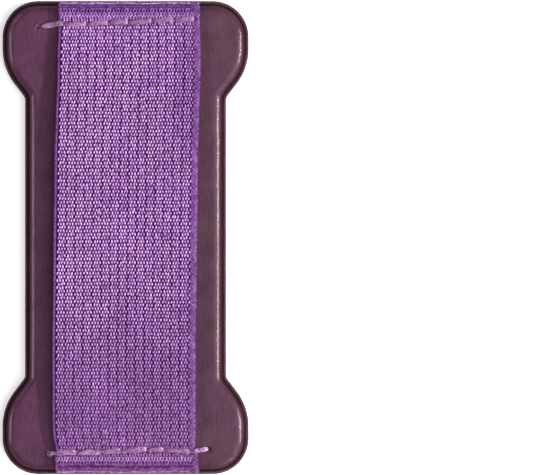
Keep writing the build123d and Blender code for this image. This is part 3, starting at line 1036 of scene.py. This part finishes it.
def elastic_material():
    """Woven elastic: colour by how raised the yarn is, painting shade in the gaps and highlights on the
    floats, darker and warmer at its lower end, with fine fibres.
    """
    n = Nodes("purple_elastic")
    # low tones paint shade in the gaps, high tones a highlight on the floats
    stops = [
        (0.0, (0.014, 0.001, 0.03)),
        (0.22, (0.065, 0.012, 0.11)),
        (0.45, (0.18, 0.077, 0.236)),
        (0.72, (0.4, 0.182, 0.51)),
        (1.0, (0.8, 0.48, 0.87)),
    ]
    colour = n.ramp(n.attribute("tone"), stops)
    # darker and warmer over the band's lower end
    dimming = [(0.0, (0.86, 0.77, 0.73)), (0.06, (0.93, 0.89, 0.88)), (0.5, (0.92, 0.89, 0.91))]
    colour = n.mix(1.0, colour, n.ramp(n.along("Y", -0.062, 0.062), dimming), "MULTIPLY")
    fuzz = n.noise(5200, detail=3, stretch=(1, 0.45, 1))
    colour = n.mix(0.35, colour, n.ramp(fuzz, [(0.3, (0.5, 0.45, 0.55)), (0.7, (1, 1, 1))]), "MULTIPLY")
    normal = n.bump(n.noise(8000, detail=2, stretch=(1, 0.35, 1)), 0.35, 0.00006)
    return n.finish(colour, normal, 0.8, Sheen_Weight=0.02, Sheen_Roughness=0.4, Specular_IOR_Level=0.1)


def thread_material():
    """Thick twisted thread, with fine fibres."""
    n = Nodes("mauve_thread")
    # the tone carries the stitches' painted shade and highlights
    stops = [
        (0.0, (0.05, 0.016, 0.06)),
        (0.4, (0.185, 0.082, 0.193)),
        (0.75, (0.335, 0.165, 0.375)),
        (1.0, (0.65, 0.41, 0.66)),
    ]
    colour = n.ramp(n.attribute("tone"), stops)
    fibres = n.noise(4200, detail=3, stretch=(0.3, 1, 1))
    colour = n.mix(0.4, colour, n.ramp(fibres, [(0.3, (0.55, 0.5, 0.55)), (0.7, (1, 1, 1))]), "MULTIPLY")
    normal = n.bump(fibres, 0.4, 0.0001)
    return n.finish(colour, normal, 0.6, Sheen_Weight=0.05, Sheen_Roughness=0.4, Specular_IOR_Level=0.25)


def felt_material():
    """Dense grey felt."""
    n = Nodes("core_felt")
    tufts = n.noise(900, detail=6, roughness=0.7)
    colour = n.ramp(tufts, [(0.3, (0.22, 0.2, 0.21)), (0.7, (0.42, 0.38, 0.4))])
    return n.finish(colour, n.bump(tufts, 0.6, 0.0003), 0.95)


# ---------------------------------------------------------------- the studio


def build_floor():
    """A plain pale sheet under the pad, with a faint glow of its own as on a light table."""
    n = Nodes("pale_floor")
    colour = n.ramp(n.noise(3, detail=2), [(0.3, (0.925,) * 3), (0.7, (0.94,) * 3)])
    normal = n.bump(n.noise(900), 0.02, 0.0002)
    glow = {"Emission_Strength": FLOOR_GLOW, "Emission_Color": (1, 1, 1, 1)}
    material = n.finish(colour, normal, 0.9, Specular_IOR_Level=0.1, **glow)
    corners = [(x * FLOOR_HALF, y * FLOOR_HALF, 0) for x, y in ((-1, -1), (1, -1), (1, 1), (-1, 1))]
    mesh = bpy.data.meshes.new("floor")
    mesh.from_pydata(corners, [], [(0, 1, 2, 3)])
    mesh.materials.append(material)
    floor = bpy.data.objects.new("floor", mesh)
    bpy.context.scene.collection.objects.link(floor)


def aim(obj, azimuth, elevation, distance):
    """Puts a light in that direction from the pad, in degrees from +X and above the floor, facing it."""
    a, e = math.radians(azimuth), math.radians(elevation)
    way = Vector((math.cos(a) * math.cos(e), math.sin(a) * math.cos(e), math.sin(e)))
    obj.location = way * distance
    obj.rotation_mode = "QUATERNION"
    obj.rotation_quaternion = way.to_track_quat("Z", "Y")
    bpy.context.scene.collection.objects.link(obj)


def add_softbox(name, azimuth, elevation, distance, width, height, watts):
    """A rectangular lamp, its sizes in metres."""
    light = bpy.data.lights.new(name, "AREA")
    light.shape = "RECTANGLE"
    light.size, light.size_y = width, height
    light.energy = watts
    aim(bpy.data.objects.new(name, light), azimuth, elevation, distance)


def add_sun(name, azimuth, elevation, strength, soft_angle):
    """Even light from one side, its shadows softened over soft_angle degrees."""
    light = bpy.data.lights.new(name, "SUN")
    light.energy = strength
    light.angle = math.radians(soft_angle)
    aim(bpy.data.objects.new(name, light), azimuth, elevation, 3)


def build_lights():
    """Soft key from the right, low strips for the moulded edge's highlights, a fill from the left, and an
    even white room."""
    world = bpy.data.worlds.new("room")
    bpy.context.scene.world = world
    world.use_nodes = True
    background = world.node_tree.nodes["Background"]
    background.inputs["Color"].default_value = (1, 1, 1, 1)
    background.inputs["Strength"].default_value = ROOM_GLOW
    add_sun("key", -20, 48, 1.8, 50)
    add_softbox("right_strip", 2, 21, 1.4, 0.5, 0.06, 35)
    add_softbox("corner_strip", -52, 21, 1.4, 0.5, 0.06, 10)
    add_softbox("left_fill", 180, 23, 1.4, 0.5, 0.5, 13)
    add_softbox("far_strip", 140, 21, 1.4, 0.5, 0.12, 5)


def build_camera():
    """Straight above, so that the pad stands at the left of the picture and nearly fills its height."""
    data = bpy.data.cameras.new("camera")
    data.sensor_width = 36
    data.lens = data.sensor_width * CAMERA_PLACE[2] / PICTURE_WIDTH
    data.clip_end = 10
    camera = bpy.data.objects.new("camera", data)
    camera.location = CAMERA_PLACE
    bpy.context.scene.collection.objects.link(camera)
    bpy.context.scene.camera = camera


def build_object():
    """Every piece of the strap, with its material."""
    plum = ((0.058, 0.019, 0.038), (0.1, 0.038, 0.08))
    cover = leather_material("plum_leather", *plum, 0.58, 0.14)
    edge = leather_material("dyed_edge", *plum, 0.6, 0.03)
    backing = leather_material("backing_leather", (0.05, 0.018, 0.033), (0.085, 0.034, 0.062), 0.6, 0.15)
    elastic = elastic_material()
    thread = thread_material()
    build_front_cover(cover, edge)
    build_back_cover(backing)
    build_core(felt_material())
    build_bands(elastic)
    for end in ENDS:
        build_cut_yarns(end, elastic)
    for row in HOLES:
        build_needle_thread(row, thread)
        build_bobbin_thread(row, thread)
    build_stray_fibres(thread)


build_object()
build_floor()
build_lights()
build_camera()
bpy.context.scene.view_settings.view_transform = "Standard"
